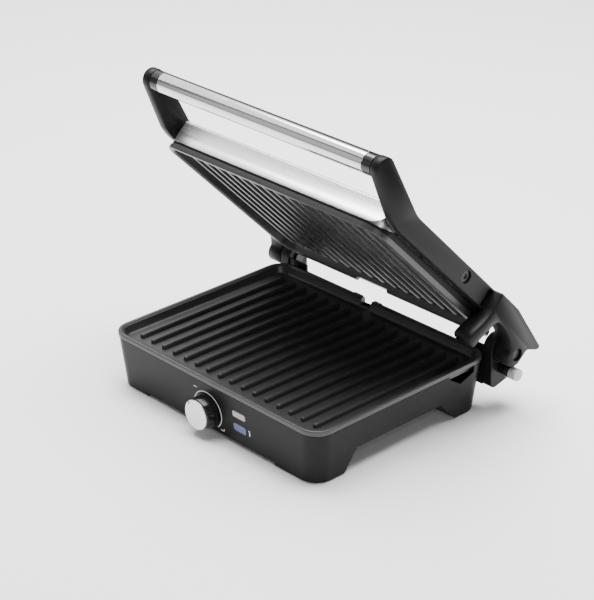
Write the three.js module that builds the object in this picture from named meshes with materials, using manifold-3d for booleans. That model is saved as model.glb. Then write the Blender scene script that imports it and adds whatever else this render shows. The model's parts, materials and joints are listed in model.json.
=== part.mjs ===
// Panini press: a contact grill with a floating lid, held by two arms and a tube handle.
// Millimetres, +Z up, front of the press towards -Y. The lid stands open at OPEN_DEG.

import * as THREE from 'three';
import { mergeVertices } from 'three/addons/utils/BufferGeometryUtils.js';
import Module from 'manifold-3d';

const wasm = await Module();
wasm.setup();

// ---------------------------------------------------------------- driving dimensions

const FIT = 0.3;                  // clearance between touching pieces
const RUN = 0.08;                 // radial clearance of a turning or sliding fit
const OPEN_DEG = 45;              // how far the lid stands open from closed

// grill plates (both are the same casting, one turned over)
const PLATE_W = 296;              // over the rim, left to right
const PLATE_D = 236;              // over the rim, front to back
const PLATE_R = 21;               // corner radius of the rim
const RIM_H = 6;                  // height of the rim band
const RIM_T = 6;                  // width of the rim's flat top
const RIM_SLOPE = 3;              // how far the inner wall leans in towards the valley
const TRAY_DEPTH = 9;             // rim top to valley
const TRAY_T = 3.5;               // thickness of the casting under the valley
const RIB_COUNT = 16;
const RIB_SIDE = 16;              // rim to the first rib's half pitch
const RIB_END = 20.5;             // rim to a rib's end
const RIB_PITCH = (PLATE_W - 2 * RIB_SIDE) / RIB_COUNT;
const RIB_LENGTH = PLATE_D - 2 * RIB_END;
const RIB_W = 5.2;                // width at the root
const RIB_H = 4.3;
const DRAIN_W = 14;               // gap in the rear rim for the fat
const DRAIN_X = -17;              // its place left of centre
const DRAIN_DEPTH = 6.2;

// base
const RIM_TOP = 59.5;             // height of the lower plate's rim over the floor
const TAPER = 5;                  // how far each wall leans in from top to floor
const WALL = 2.8;
const HOUSING_SET = 1;            // housing set back under the rim
const SIDE_BOTTOM = 24.3;         // lower edge of the side walls
const FRONT_BOTTOM = 4;           // lower edge of the front wall
const LEG_LEFT_W = 51;            // rim to the inner edge of the left legs
const LEG_RIGHT_W = 61;           // rim to the inner edge of the right legs
const LEG_FRONT_D = 42;           // rim to the back of the front legs at the floor
const LEG_FRONT_RISE = 14.5;      // how far that edge leans back on its way up
const LEG_REAR_D = 41;            // rim to the front of the rear legs at the floor
const LEG_REAR_RISE = 24.5;
const FOOT_R = 9;
const FOOT_H = 1.2;               // how far a rubber foot stands below its leg
const NOTCH_L = 36;               // clearance notch in the top of each side wall
const NOTCH_END = 22;             // rear rim to the notch
const NOTCH_DEPTH = 14;
const COVER_T = 2.5;              // bottom cover
const COVER_UP = 1;               // bottom cover above the front wall's lower edge
const SCREW_R = 1.5;
const SCREW_HEAD_R = 3.4;
const SCREW_HEAD_H = 2;
const SCREW_BOSS_R = 5;
const FOOT_SIDE = 30;             // feet in from the side rims
const FOOT_END = 23;              // and from the front and rear rims
const GLAND_X = -60;
const GLAND_Z = 17;
const GLAND_R = 7;
const GLAND_FLANGE_R = 9;
const CORD_R = 3.5;

// controls
const KNOB_X = -4.5;
const KNOB_Z = 24.3;
const KNOB_R = 15.6;
const KNOB_SKIRT_R = 17.2;
const KNOB_REACH = 12.3;          // knob face in front of the rim
const KNOB_CAP_T = 1.6;
const SHAFT_R = 3;
const POINTER_DEG = 135;          // pointer notch in the cap, from the right-hand side
const LENS_X = 41;
const LENS_W = 17.6;
const READY_Z = 36.3;
const READY_H = 6.8;
const POWER_Z = 21.8;
const POWER_H = 8.6;
const LENS_T = 2.2;
const LAMP_R = 2.4;
const LAMP_L = 9;

// hinge
const HINGE_BEHIND = 13.2;        // hinge axis behind the rim
const HINGE_UP = 1.5;             // hinge axis above the rim top
const POST_SET = 10;              // inner face of a hinge post inside the rim
const POST_T = 12.2;
const POST_R = 14;
const POST_BOTTOM = 20;
const BRACKET_L = 38;             // a bracket plate's reach inward from its post
const BRACKET_T = 3.7;
const BRACKET_TOP = 50;
const BRACKET_BOTTOM = 22;
const TAB_L = 26;                 // reach of the tab that stands up behind the rim
const TAB_T = 2;
const TAB_TOP = 64;
const PIN_R = 4;
const PIN_HEAD_R = 6;

// release button, below the hinge axis on the right
const BUTTON_DROP = 21.5;
const BUTTON_R = 6.3;
const BUTTON_L = 14.2;
const BUTTON_TRAVEL = 6;
const SLEEVE_R = 5.2;
const SLEEVE_WALL = 1;
const SLEEVE_L = 8;
const STEM_R = 2.4;
const SPRING_R = 3.35;
const SPRING_WIRE = 0.5;
const SPRING_TURNS = 6;

// arms and handle, in the lid's frame: origin on the hinge axis, lid closed
const ARM_GAP = 1;                // an arm's inner face outside the rim
const ARM_T = 10.5;
const ROOT_T = 20;                // thickness of an arm's root, from the post outward
const SKIRT_GAP = 0.9;            // skirt's inner face outside the rim
const ARM_TOP = 35;
const ARM_BOTTOM = 12.5;
const BEND_BEHIND = 12;           // where the arm turns up to the handle, behind the plate's front
const HANDLE_AHEAD = 59.5;        // handle axis beyond a plate's depth from the hinge axis
const HANDLE_UP = 45.7;
const HANDLE_R = 10.4;
const HANDLE_WALL = 1;
const HANDLE_END = 10;            // end of the bright tube inside the rim
const ARM_END_R = 11;
const EDGE = 1.2;                 // rounding of moulded edges

// lid
const LID_GAP = 0.4;              // lid rim above the hinge axis when closed
const FRAME_FRONT = 8.4;          // top of the black frame at the front
const FRAME_SIDE = 12.5;          // and along the sides
const LID_TOP = 34;
const LID_SET = 1;                // frame and cover set back from the rim
const SCOOP_BACK = 9;             // the cover's top front edge behind its lower edge
const COVER_WALL = 1.2;
const PIVOT_AHEAD = 1;            // lid pivot in front of half a plate's depth
const PIVOT_UP = 25;
const PIVOT_R = 3.5;
const BOSS_R = 7.4;
const BOSS_L = 15;

// heaters
const ROD_R = 3.3;
const ROD_SIDE = 88;              // rim to the end of each straight run
const ROD_END = 66;               // rim to a run
const REFLECTOR_SIDE = 23;        // rim to the reflector, at each side
const REFLECTOR_END = 25;         // and at front and rear
const REFLECTOR_H = 7;
const REFLECTOR_T = 1;

// worked out from the above
const HALF_W = PLATE_W / 2;
const HALF_D = PLATE_D / 2;
const TROUGH_LEFT = LEG_LEFT_W - HALF_W;
const TROUGH_RIGHT = HALF_W - LEG_RIGHT_W;
const LEG_FRONT_Y = LEG_FRONT_D - HALF_D;
const LEG_REAR_Y = HALF_D - LEG_REAR_D;
const NOTCH_BACK = HALF_D - NOTCH_END;
const NOTCH_FRONT = NOTCH_BACK - NOTCH_L;
const FOOT_X = HALF_W - FOOT_SIDE;
const FOOT_Y = HALF_D - FOOT_END;
const POST_IN = HALF_W - POST_SET;                     // inner face of a hinge post
const BRACKET_IN = POST_IN - BRACKET_L;
const TAB_IN = POST_IN - TAB_L;
const ARM_IN = HALF_W + ARM_GAP;
const ROOT_IN = POST_IN + POST_T + FIT;                // inner face of the ear round the pin
const ROOT_OUT = ROOT_IN + ROOT_T;
const SKIRT_IN = HALF_W + SKIRT_GAP;
const ARM_BEND = PLATE_D - BEND_BEHIND;
const HANDLE_REACH = PLATE_D + HANDLE_AHEAD;
const HANDLE_HALF = HALF_W - HANDLE_END;
const PIVOT_BACK = HALF_D + PIVOT_AHEAD;
const ROD_SPAN_X = HALF_W - ROD_SIDE;
const ROD_SPAN_Y = HALF_D - ROD_END;
const REFLECTOR_W = PLATE_W - 2 * REFLECTOR_SIDE;
const REFLECTOR_D = PLATE_D - 2 * REFLECTOR_END;
const HINGE_Y = PLATE_D / 2 + HINGE_BEHIND;
const HINGE_Z = RIM_TOP + HINGE_UP;
const SEAT_Z = RIM_TOP - RIM_H;
const HOUSING_W = PLATE_W - 2 * HOUSING_SET;
const HOUSING_D = PLATE_D - 2 * HOUSING_SET;
const HOUSING_TOP = SEAT_Z - FIT;
const LEAN = Math.atan(TAPER / HOUSING_TOP);
const LID_MID = -HINGE_Y;         // middle of the lid in its own frame
const frontWallY = (z) => -HOUSING_D / 2 + TAPER * (1 - z / HOUSING_TOP);
const sideWallX = (z) => HOUSING_W / 2 - TAPER * (1 - z / HOUSING_TOP);

// ---------------------------------------------------------------- materials

function paint(color, roughness, metalness) {
  return new THREE.MeshStandardMaterial({ color, roughness, metalness });
}
const BLACK_PLASTIC = paint(0x2b2b2c, 0.45, 0);
const GLOSS_PLASTIC = paint(0x242425, 0.22, 0);
const PLATE_COATING = paint(0x1d1d1e, 0.4, 0.3);
const BRUSHED_STEEL = paint(0xc4c5c6, 0.3, 1);
const POLISHED_STEEL = paint(0xd8d8d8, 0.15, 1);
const PLAIN_STEEL = paint(0x9a9c9e, 0.4, 1);
const BLACK_STEEL = paint(0x222223, 0.35, 0.6);
const ALUMINIUM = paint(0xb9bbbd, 0.45, 1);
const RUBBER = paint(0x151515, 0.9, 0);
const BLUE_LENS = paint(0x3c5f9e, 0.2, 0);
const CLEAR_LENS = paint(0xb8bcbe, 0.2, 0);
const GREY_PLASTIC = paint(0xb4b6b8, 0.35, 0);
const CERAMIC = paint(0xd9d3c4, 0.7, 0);

// ---------------------------------------------------------------- solids and booleans

// Closed solid from a geometry, with its faces outward.
function solid(geometry) {
  const bare = geometry.index ? geometry.toNonIndexed() : geometry.clone();
  bare.deleteAttribute('normal');
  bare.deleteAttribute('uv');
  const merged = mergeVertices(bare, 1e-4);
  const triVerts = Uint32Array.from(merged.index.array);
  const vertProperties = Float32Array.from(merged.attributes.position.array);
  if (signedVolume(vertProperties, triVerts) < 0) {
    triVerts.reverse();
  }
  return new wasm.Manifold(new wasm.Mesh({ numProp: 3, vertProperties, triVerts }));
}

function signedVolume(points, triangles) {
  const a = new THREE.Vector3();
  const b = new THREE.Vector3();
  const c = new THREE.Vector3();
  let sum = 0;
  for (let i = 0; i < triangles.length; i += 3) {
    a.fromArray(points, 3 * triangles[i]);
    b.fromArray(points, 3 * triangles[i + 1]);
    c.fromArray(points, 3 * triangles[i + 2]);
    sum += a.dot(b.cross(c));
  }
  return sum;
}

function join(first, ...others) {
  return others.reduce((sum, next) => sum.add(next), first);
}

function cut(first, ...others) {
  return others.reduce((rest, next) => rest.subtract(next), first);
}

function toGeometry(manifold) {
  const { vertProperties, triVerts } = manifold.getMesh();
  const geometry = new THREE.BufferGeometry();
  geometry.setAttribute('position', new THREE.BufferAttribute(new Float32Array(vertProperties), 3));
  geometry.setIndex(new THREE.BufferAttribute(new Uint32Array(triVerts), 1));
  geometry.computeVertexNormals();
  return geometry;
}

// Mirror image across the YZ plane (axis 'x') or the XY plane (axis 'z').
function mirrored(manifold, axis) {
  const geometry = toGeometry(manifold);
  geometry.scale(axis === 'x' ? -1 : 1, 1, axis === 'z' ? -1 : 1);
  return solid(geometry);
}

const AXES = {
  // an outline drawn in (y, z) runs along +X
  x: new THREE.Matrix4().makeBasis(
    new THREE.Vector3(0, 1, 0), new THREE.Vector3(0, 0, 1), new THREE.Vector3(1, 0, 0)),
  // an outline drawn in (x, z) runs along -Y
  y: new THREE.Matrix4().makeBasis(
    new THREE.Vector3(1, 0, 0), new THREE.Vector3(0, 0, 1), new THREE.Vector3(0, -1, 0)),
  z: new THREE.Matrix4(),
};

// Outline pushed along an axis from one coordinate to another, with optional rounded rims.
function extrude(shape, axis, from, to, edge = 0, curveSegments = 6) {
  const geometry = new THREE.ExtrudeGeometry(shape, {
    depth: to - from - 2 * edge,
    bevelEnabled: edge > 0,
    bevelThickness: edge,
    bevelSize: edge,
    bevelOffset: -edge,
    bevelSegments: 1,
    curveSegments,
  });
  geometry.translate(0, 0, edge + (axis === 'y' ? -to : from));
  geometry.applyMatrix4(AXES[axis]);
  return solid(geometry);
}

function box(x0, x1, y0, y1, z0, z1) {
  const geometry = new THREE.BoxGeometry(x1 - x0, y1 - y0, z1 - z0);
  geometry.translate((x0 + x1) / 2, (y0 + y1) / 2, (z0 + z1) / 2);
  return solid(geometry);
}

// Round bar along an axis; centre gives its place across the axis, in x, y, z order.
function rod(axis, radius, from, to, centre, sides = 20) {
  const geometry = new THREE.CylinderGeometry(radius, radius, to - from, sides);
  const middle = (from + to) / 2;
  if (axis === 'x') {
    geometry.rotateZ(-Math.PI / 2);
    geometry.translate(middle, centre[0], centre[1]);
  } else if (axis === 'y') {
    geometry.translate(centre[0], middle, centre[1]);
  } else {
    geometry.rotateX(Math.PI / 2);
    geometry.translate(centre[0], centre[1], middle);
  }
  return solid(geometry);
}

function roundedRect(width, depth, radius) {
  const x = width / 2;
  const y = depth / 2;
  const shape = new THREE.Shape();
  shape.moveTo(-x + radius, -y);
  shape.lineTo(x - radius, -y);
  shape.absarc(x - radius, -y + radius, radius, -Math.PI / 2, 0);
  shape.lineTo(x, y - radius);
  shape.absarc(x - radius, y - radius, radius, 0, Math.PI / 2);
  shape.lineTo(-x + radius, y);
  shape.absarc(-x + radius, y - radius, radius, Math.PI / 2, Math.PI);
  shape.lineTo(-x, -y + radius);
  shape.absarc(-x + radius, -y + radius, radius, Math.PI, 1.5 * Math.PI);
  return shape;
}

function polygon(points) {
  return new THREE.Shape(points.map(([u, v]) => new THREE.Vector2(u, v)));
}

// Rounded block whose walls lean in by (atZ) => inset, measured on each side.
function leaningBlock(width, depth, radius, z0, z1, inset) {
  const geometry = new THREE.ExtrudeGeometry(roundedRect(width, depth, radius), {
    depth: z1 - z0,
    bevelEnabled: false,
    curveSegments: 6,
  });
  geometry.translate(0, 0, z0);
  const position = geometry.attributes.position;
  for (let i = 0; i < position.count; i += 1) {
    const lean = inset(position.getZ(i));
    position.setX(i, position.getX(i) * (1 - 2 * lean / width));
    position.setY(i, position.getY(i) * (1 - 2 * lean / depth));
  }
  return solid(geometry);
}

// ---------------------------------------------------------------- scene graph

const press = new THREE.Group();
const base = new THREE.Group();
const arms = new THREE.Group();
press.add(base, arms);
arms.position.set(0, HINGE_Y, HINGE_Z);
arms.rotation.x = -THREE.MathUtils.degToRad(OPEN_DEG);

function piece(name, shape, material, parent) {
  const geometry = shape instanceof THREE.BufferGeometry ? shape : toGeometry(shape);
  const mesh = new THREE.Mesh(geometry, material);
  mesh.name = name;
  parent.add(mesh);
  return mesh;
}

const SIDES = [['left', -1], ['right', 1]];

// ---------------------------------------------------------------- grill plates

// Casting with its rim top at z = 0 and its valley below.
function grillPlate() {
  const rim = extrude(roundedRect(PLATE_W, PLATE_D, PLATE_R), 'z', -RIM_H, 0);
  const inW = PLATE_W - 2 * RIM_T;
  const inD = PLATE_D - 2 * RIM_T;
  const inR = PLATE_R - RIM_T;
  const tray = extrude(roundedRect(inW, inD, inR), 'z', -TRAY_DEPTH - TRAY_T, -RIM_H / 2);
  const lean = (z) => Math.max(0, -z) * RIM_SLOPE / TRAY_DEPTH;
  const hollow = leaningBlock(inW, inD, inR, -TRAY_DEPTH, FIT, lean);
  let plate = cut(join(rim, tray), hollow);
  const half = RIB_LENGTH / 2 - RIB_W / 2;
  for (let i = 0; i < RIB_COUNT; i += 1) {
    const x = (i - (RIB_COUNT - 1) / 2) * RIB_PITCH;
    const outline = new THREE.Shape();
    outline.absarc(x, half, RIB_W / 2, 0, Math.PI);
    outline.absarc(x, -half, RIB_W / 2, Math.PI, 2 * Math.PI);
    plate = plate.add(extrude(outline, 'z', -TRAY_DEPTH - TRAY_T / 2, -TRAY_DEPTH + RIB_H, RIB_W / 4, 2));
  }
  const drainLeft = DRAIN_X - DRAIN_W / 2;
  const drain = box(drainLeft, drainLeft + DRAIN_W, HALF_D - 2 * RIM_T, PLATE_D, -DRAIN_DEPTH, FIT);
  return plate.subtract(drain);
}

const plateSolid = grillPlate();
piece('lower_grill_plate', plateSolid, PLATE_COATING, base).position.z = RIM_TOP;

// ---------------------------------------------------------------- heating elements and reflectors

// Hairpin rod under the casting, centred on z = 0.
function heatingElement() {
  const turns = 8;
  const points = [];
  for (let i = 0; i <= turns; i += 1) {
    points.push(new THREE.Vector3(-ROD_SPAN_X + 2 * ROD_SPAN_X * i / turns, -ROD_SPAN_Y, 0));
  }
  for (let i = 1; i < turns; i += 1) {
    const a = -Math.PI / 2 + Math.PI * i / turns;
    points.push(new THREE.Vector3(ROD_SPAN_X + ROD_SPAN_Y * Math.cos(a), ROD_SPAN_Y * Math.sin(a), 0));
  }
  for (let i = 0; i <= turns; i += 1) {
    points.push(new THREE.Vector3(ROD_SPAN_X - 2 * ROD_SPAN_X * i / turns, ROD_SPAN_Y, 0));
  }
  const section = new THREE.Shape();
  section.absarc(0, 0, ROD_R, 0, 2 * Math.PI);
  return solid(new THREE.ExtrudeGeometry(section, {
    steps: 40,
    bevelEnabled: false,
    extrudePath: new THREE.CatmullRomCurve3(points),
    curveSegments: 4,
  }));
}

// Shallow open tray, floor at z = 0.
function reflectorTray() {
  const outer = extrude(roundedRect(REFLECTOR_W, REFLECTOR_D, PLATE_R), 'z', 0, REFLECTOR_H);
  const inner = extrude(roundedRect(REFLECTOR_W - 2 * REFLECTOR_T, REFLECTOR_D - 2 * REFLECTOR_T,
    PLATE_R - REFLECTOR_T), 'z', REFLECTOR_T, REFLECTOR_H + FIT);
  return outer.subtract(inner);
}

const CASTING_H = TRAY_DEPTH + TRAY_T;
const ROD_BELOW = CASTING_H + FIT + ROD_R;             // rod centre below a rim top
const REFLECTOR_BELOW = ROD_BELOW + ROD_R + 1 + REFLECTOR_T;
const rodSolid = heatingElement();
const traySolid = reflectorTray();
piece('lower_heating_element', rodSolid, PLAIN_STEEL, base).position.z = RIM_TOP - ROD_BELOW;
piece('lower_reflector', traySolid, ALUMINIUM, base).position.z = RIM_TOP - REFLECTOR_BELOW;

// ---------------------------------------------------------------- base housing

const leanIn = (z) => TAPER * (1 - z / HOUSING_TOP);
const rearWallY = (z) => -frontWallY(z);
const BELLY_FLOOR = SIDE_BOTTOM + WALL;                // floor of the wide upper hollow
const bellyFrontY = frontWallY(FRONT_BOTTOM) + WALL;
const COVER_BOTTOM = FRONT_BOTTOM + COVER_UP;
const COVER_TOP = COVER_BOTTOM + COVER_T;
const SCREW_IN = 4;                                    // cover screws in from the belly's walls
const screwPlaces = [
  ['front_left', TROUGH_LEFT + WALL + SCREW_IN, bellyFrontY + SCREW_IN],
  ['front_right', TROUGH_RIGHT - WALL - SCREW_IN, bellyFrontY + SCREW_IN],
  ['rear_left', TROUGH_LEFT + WALL + SCREW_IN, -bellyFrontY - SCREW_IN],
  ['rear_right', TROUGH_RIGHT - WALL - SCREW_IN, -bellyFrontY - SCREW_IN],
];
const footPlaces = [
  ['front_left', -FOOT_X, -FOOT_Y],
  ['front_right', FOOT_X, -FOOT_Y],
  ['rear_left', -FOOT_X, FOOT_Y],
  ['rear_right', FOOT_X, FOOT_Y],
];
const BRACKET_Y = PLATE_D / 2 - HOUSING_SET + FIT;     // front face of the bracket plates
const bracketScrews = [
  [BRACKET_IN + 8, BRACKET_BOTTOM + 7],
  [BRACKET_IN + 8, BRACKET_TOP - 7],
];
const TUCK = 1;                                        // overlap of solids that are joined

function lensBody(width, height, depth, grow) {
  const outline = roundedRect(width + 2 * grow, height + 2 * grow, height / 4);
  return new THREE.ExtrudeGeometry(outline, { depth, bevelEnabled: false, curveSegments: 3 });
}

// Stands a geometry, drawn with its face towards +Z, on the leaning front wall.
function onFrontWall(geometry, x, z, sunk) {
  geometry.translate(0, 0, -sunk);
  geometry.rotateX(Math.PI / 2 + LEAN);
  geometry.translate(x, frontWallY(z), z);
  return solid(geometry);
}

function baseHousing() {
  const outer = leaningBlock(HOUSING_W, HOUSING_D, PLATE_R - HOUSING_SET, FOOT_H, HOUSING_TOP, leanIn);
  const inner = leaningBlock(HOUSING_W - 2 * WALL, HOUSING_D - 2 * WALL, PLATE_R - HOUSING_SET - WALL,
    BELLY_FLOOR, HOUSING_TOP + FIT, leanIn);
  const belly = box(TROUGH_LEFT + WALL, TROUGH_RIGHT - WALL, bellyFrontY, -bellyFrontY, 0, HOUSING_TOP);
  const arch = polygon([
    [LEG_FRONT_Y, 0],
    [LEG_REAR_Y, 0],
    [LEG_REAR_Y - LEG_REAR_RISE, SIDE_BOTTOM],
    [LEG_FRONT_Y + LEG_FRONT_RISE, SIDE_BOTTOM],
  ]);
  const notchMid = (NOTCH_FRONT + NOTCH_BACK) / 2;
  const notch = polygon([
    [NOTCH_FRONT, HOUSING_TOP + FIT],
    [NOTCH_FRONT, HOUSING_TOP - NOTCH_DEPTH / 6],
    [notchMid, HOUSING_TOP - NOTCH_DEPTH],
    [NOTCH_BACK, HOUSING_TOP - NOTCH_DEPTH / 2],
    [NOTCH_BACK, HOUSING_TOP + FIT],
  ]);
  let housing = cut(
    outer,
    inner,
    belly,
    extrude(arch, 'x', TROUGH_RIGHT, PLATE_W),
    extrude(arch, 'x', -PLATE_W, TROUGH_LEFT),
    box(TROUGH_LEFT, TROUGH_RIGHT, -PLATE_D, PLATE_D, 0, FRONT_BOTTOM),
    extrude(notch, 'x', -PLATE_W, PLATE_W),
  );
  // hollows in the legs, open to the belly above
  const legIn = { left: TROUGH_LEFT - WALL, right: TROUGH_RIGHT + WALL };
  const legOut = sideWallX(FOOT_H) - WALL - 3;
  const legFloor = FOOT_H + 6;
  for (const [side, sign] of SIDES) {
    const x0 = Math.min(legIn[side], sign * legOut);
    const x1 = Math.max(legIn[side], sign * legOut);
    housing = cut(
      housing,
      box(x0, x1, bellyFrontY + 3, LEG_FRONT_Y - WALL, legFloor, HOUSING_TOP),
      box(x0, x1, LEG_REAR_Y + WALL, -bellyFrontY - 3, legFloor, HOUSING_TOP),
    );
  }
  for (const [, x, y] of screwPlaces) {
    housing = housing.add(rod('z', SCREW_BOSS_R, COVER_TOP + FIT, BELLY_FLOOR, [x, y], 16));
  }
  for (const [, x, y] of screwPlaces) {
    housing = housing.subtract(rod('z', SCREW_R + FIT, 0, BELLY_FLOOR - 2 * WALL, [x, y], 12));
  }
  for (const [, x, y] of footPlaces) {
    housing = housing.subtract(rod('z', FOOT_R + FIT, 0, 2 * FOOT_H + FIT, [x, y]));
  }
  for (const [x, z] of bracketScrews) {
    for (const [, sign] of SIDES) {
      const from = -bellyFrontY - WALL - 3;
      housing = housing.subtract(rod('y', SCREW_R + FIT, from, PLATE_D, [sign * x, z], 12));
    }
  }
  return cut(
    housing,
    rod('y', SHAFT_R + RUN, -PLATE_D, bellyFrontY + TUCK, [KNOB_X, KNOB_Z]),
    onFrontWall(lensBody(LENS_W, POWER_H, 4 * WALL, FIT), LENS_X, POWER_Z, 3 * WALL),
    onFrontWall(lensBody(LENS_W, READY_H, 4 * WALL, FIT), LENS_X, READY_Z, 3 * WALL),
    rod('y', GLAND_R + FIT, -bellyFrontY - TUCK, PLATE_D, [GLAND_X, GLAND_Z]),
  );
}

piece('base_housing', baseHousing(), BLACK_PLASTIC, base);

function bottomCover() {
  const x0 = TROUGH_LEFT + WALL + FIT;
  const x1 = TROUGH_RIGHT - WALL - FIT;
  const y1 = -bellyFrontY - FIT;
  let cover = box(x0, x1, -y1, y1, COVER_BOTTOM, COVER_TOP);
  const slots = 6;
  const slot = roundedRect(5, 60, 2.4);
  for (let i = 0; i < slots; i += 1) {
    const hole = extrude(slot, 'z', 0, COVER_TOP + FIT, 0, 2);
    cover = cover.subtract(hole.translate([x0 + (x1 - x0) * (i + 1) / (slots + 1), 0, 0]));
  }
  for (const [, x, y] of screwPlaces) {
    cover = cover.subtract(rod('z', SCREW_R + FIT, 0, COVER_TOP + FIT, [x, y], 12));
  }
  return cover;
}

piece('base_bottom_cover', bottomCover(), BLACK_PLASTIC, base);

for (const [place, x, y] of footPlaces) {
  piece(`foot_${place}`, rod('z', FOOT_R, 0, 2 * FOOT_H, [x, y]), RUBBER, base);
}

for (const [place, x, y] of screwPlaces) {
  const head = rod('z', SCREW_HEAD_R, COVER_BOTTOM - FIT - SCREW_HEAD_H, COVER_BOTTOM - FIT, [x, y], 16);
  const shank = rod('z', SCREW_R, COVER_BOTTOM - FIT - TUCK, BELLY_FLOOR - 3 * WALL, [x, y], 12);
  piece(`cover_screw_${place}`, head.add(shank), PLAIN_STEEL, base);
}

function cordGland() {
  const wallIn = -bellyFrontY;
  const flangeIn = rearWallY(GLAND_Z + GLAND_FLANGE_R) + FIT;
  return cut(
    join(
      rod('y', GLAND_R, wallIn - 3, flangeIn + TUCK, [GLAND_X, GLAND_Z]),
      rod('y', GLAND_FLANGE_R, flangeIn, flangeIn + 2.5, [GLAND_X, GLAND_Z]),
    ),
    rod('y', CORD_R, 0, PLATE_D, [GLAND_X, GLAND_Z], 16),
  );
}

piece('cord_gland', cordGland(), BLACK_PLASTIC, base);

// ---------------------------------------------------------------- controls

const knobFront = -PLATE_D / 2 - KNOB_REACH;
const knobBack = frontWallY(KNOB_Z + KNOB_SKIRT_R) - FIT;
const thermoFront = bellyFrontY + FIT;
const THERMO_W = 40;
const THERMO_D = 24;
const THERMO_H = 22;
const SHAFT_IN = 8;                                    // shaft inside the thermostat

piece('thermostat_body', cut(
  box(KNOB_X - THERMO_W / 2, KNOB_X + THERMO_W / 2, thermoFront, thermoFront + THERMO_D,
    KNOB_Z - THERMO_H / 2, KNOB_Z + THERMO_H / 2),
  rod('y', SHAFT_R + RUN, -PLATE_D, thermoFront + SHAFT_IN + FIT, [KNOB_X, KNOB_Z]),
), CERAMIC, base);

const capBack = knobFront + KNOB_CAP_T;
const shaftFront = capBack + 3;
piece('thermostat_shaft', rod('y', SHAFT_R, shaftFront, thermoFront + SHAFT_IN, [KNOB_X, KNOB_Z]),
  PLAIN_STEEL, base);

// Knob about its own axis: a barrel that flares to its skirt.
function knobBody() {
  const reach = knobBack - capBack - FIT;
  const profile = [
    new THREE.Vector2(0, 0),
    new THREE.Vector2(KNOB_SKIRT_R, 0),
    new THREE.Vector2(KNOB_SKIRT_R, reach / 6),
    new THREE.Vector2(KNOB_R + (KNOB_SKIRT_R - KNOB_R) / 4, reach / 2),
    new THREE.Vector2(KNOB_R, reach - EDGE / 2),
    new THREE.Vector2(KNOB_R - EDGE / 2, reach),
    new THREE.Vector2(0, reach),
  ];
  const body = solid(new THREE.LatheGeometry(profile, 32).rotateX(Math.PI)
    .translate(KNOB_X, knobBack, KNOB_Z));
  return body.subtract(rod('y', SHAFT_R + FIT, shaftFront - FIT, knobBack + FIT, [KNOB_X, KNOB_Z]));
}

piece('knob_body', knobBody(), BLACK_PLASTIC, base);

function knobCap() {
  const disc = rod('y', KNOB_R - EDGE / 4, knobFront, capBack, [KNOB_X, KNOB_Z], 32);
  const notch = new THREE.BoxGeometry(6, 3 * KNOB_CAP_T, 1.6);
  notch.translate(KNOB_R, 0, 0);
  notch.rotateY(-THREE.MathUtils.degToRad(POINTER_DEG));
  notch.translate(KNOB_X, knobFront, KNOB_Z);
  return disc.subtract(solid(notch));
}

piece('knob_cap', knobCap(), BRUSHED_STEEL, base);

for (const [name, z, height, material] of [
  ['power', POWER_Z, POWER_H, BLUE_LENS],
  ['ready', READY_Z, READY_H, CLEAR_LENS],
]) {
  piece(`${name}_lens`, onFrontWall(lensBody(LENS_W, height, LENS_T, 0), LENS_X, z, LENS_T - 2 * FIT),
    material, base);
  const lamp = new THREE.CylinderGeometry(LAMP_R, LAMP_R, LAMP_L, 16);
  lamp.rotateX(Math.PI / 2);
  piece(`${name}_lamp`, onFrontWall(lamp, LENS_X, z, LENS_T + LAMP_L / 2), CERAMIC, base);
}

// ---------------------------------------------------------------- hinge posts, pins and release

const BUTTON_Z = HINGE_Z - BUTTON_DROP;
const postOut = POST_IN + POST_T;
const pocketIn = POST_IN + POST_T / 2;                 // bottom of the spring's pocket
const sleeveOut = postOut + SLEEVE_L;
const sleeveBore = SLEEVE_R - SLEEVE_WALL;
const buttonIn = sleeveOut + FIT * 2;
const buttonOut = buttonIn + BUTTON_L;
const buttonWeb = buttonIn + BUTTON_TRAVEL + TUCK;     // where the button's cup ends
const release = [HINGE_Y, BUTTON_Z];

function hingeBracket(withRelease) {
  const arch = new THREE.Shape();
  arch.absarc(HINGE_Y, HINGE_Z, POST_R, 0, Math.PI);
  arch.lineTo(HINGE_Y - POST_R, BRACKET_BOTTOM + 6);
  arch.quadraticCurveTo(HINGE_Y - POST_R, POST_BOTTOM, HINGE_Y - POST_R + 8, POST_BOTTOM);
  arch.lineTo(HINGE_Y + POST_R / 2, POST_BOTTOM + 3);
  arch.quadraticCurveTo(HINGE_Y + POST_R, POST_BOTTOM + 4, HINGE_Y + POST_R, POST_BOTTOM + 12);
  const back = BRACKET_Y + BRACKET_T;
  let bracket = join(
    extrude(arch, 'x', POST_IN, postOut, EDGE / 2),
    box(BRACKET_IN, POST_IN + TUCK, BRACKET_Y, back, BRACKET_BOTTOM, BRACKET_TOP),
    box(TAB_IN, POST_IN + TUCK, back - TAB_T, back, BRACKET_BOTTOM, TAB_TOP),
  );
  bracket = bracket.subtract(rod('x', PIN_R + RUN, 0, PLATE_W, [HINGE_Y, HINGE_Z]));
  for (const [x, z] of bracketScrews) {
    bracket = bracket.subtract(rod('y', SCREW_R + FIT, 0, PLATE_D, [x, z], 12));
  }
  if (withRelease) {
    bracket = join(bracket, rod('x', SLEEVE_R, postOut - TUCK, sleeveOut, release));
    bracket = cut(
      bracket,
      rod('x', sleeveBore, pocketIn, PLATE_W, release),
      rod('x', STEM_R + RUN, 0, PLATE_W, release),
    );
  }
  return bracket;
}

piece('hinge_bracket_left', mirrored(hingeBracket(false), 'x'), BLACK_PLASTIC, base);
piece('hinge_bracket_right', hingeBracket(true), BLACK_PLASTIC, base);

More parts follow.
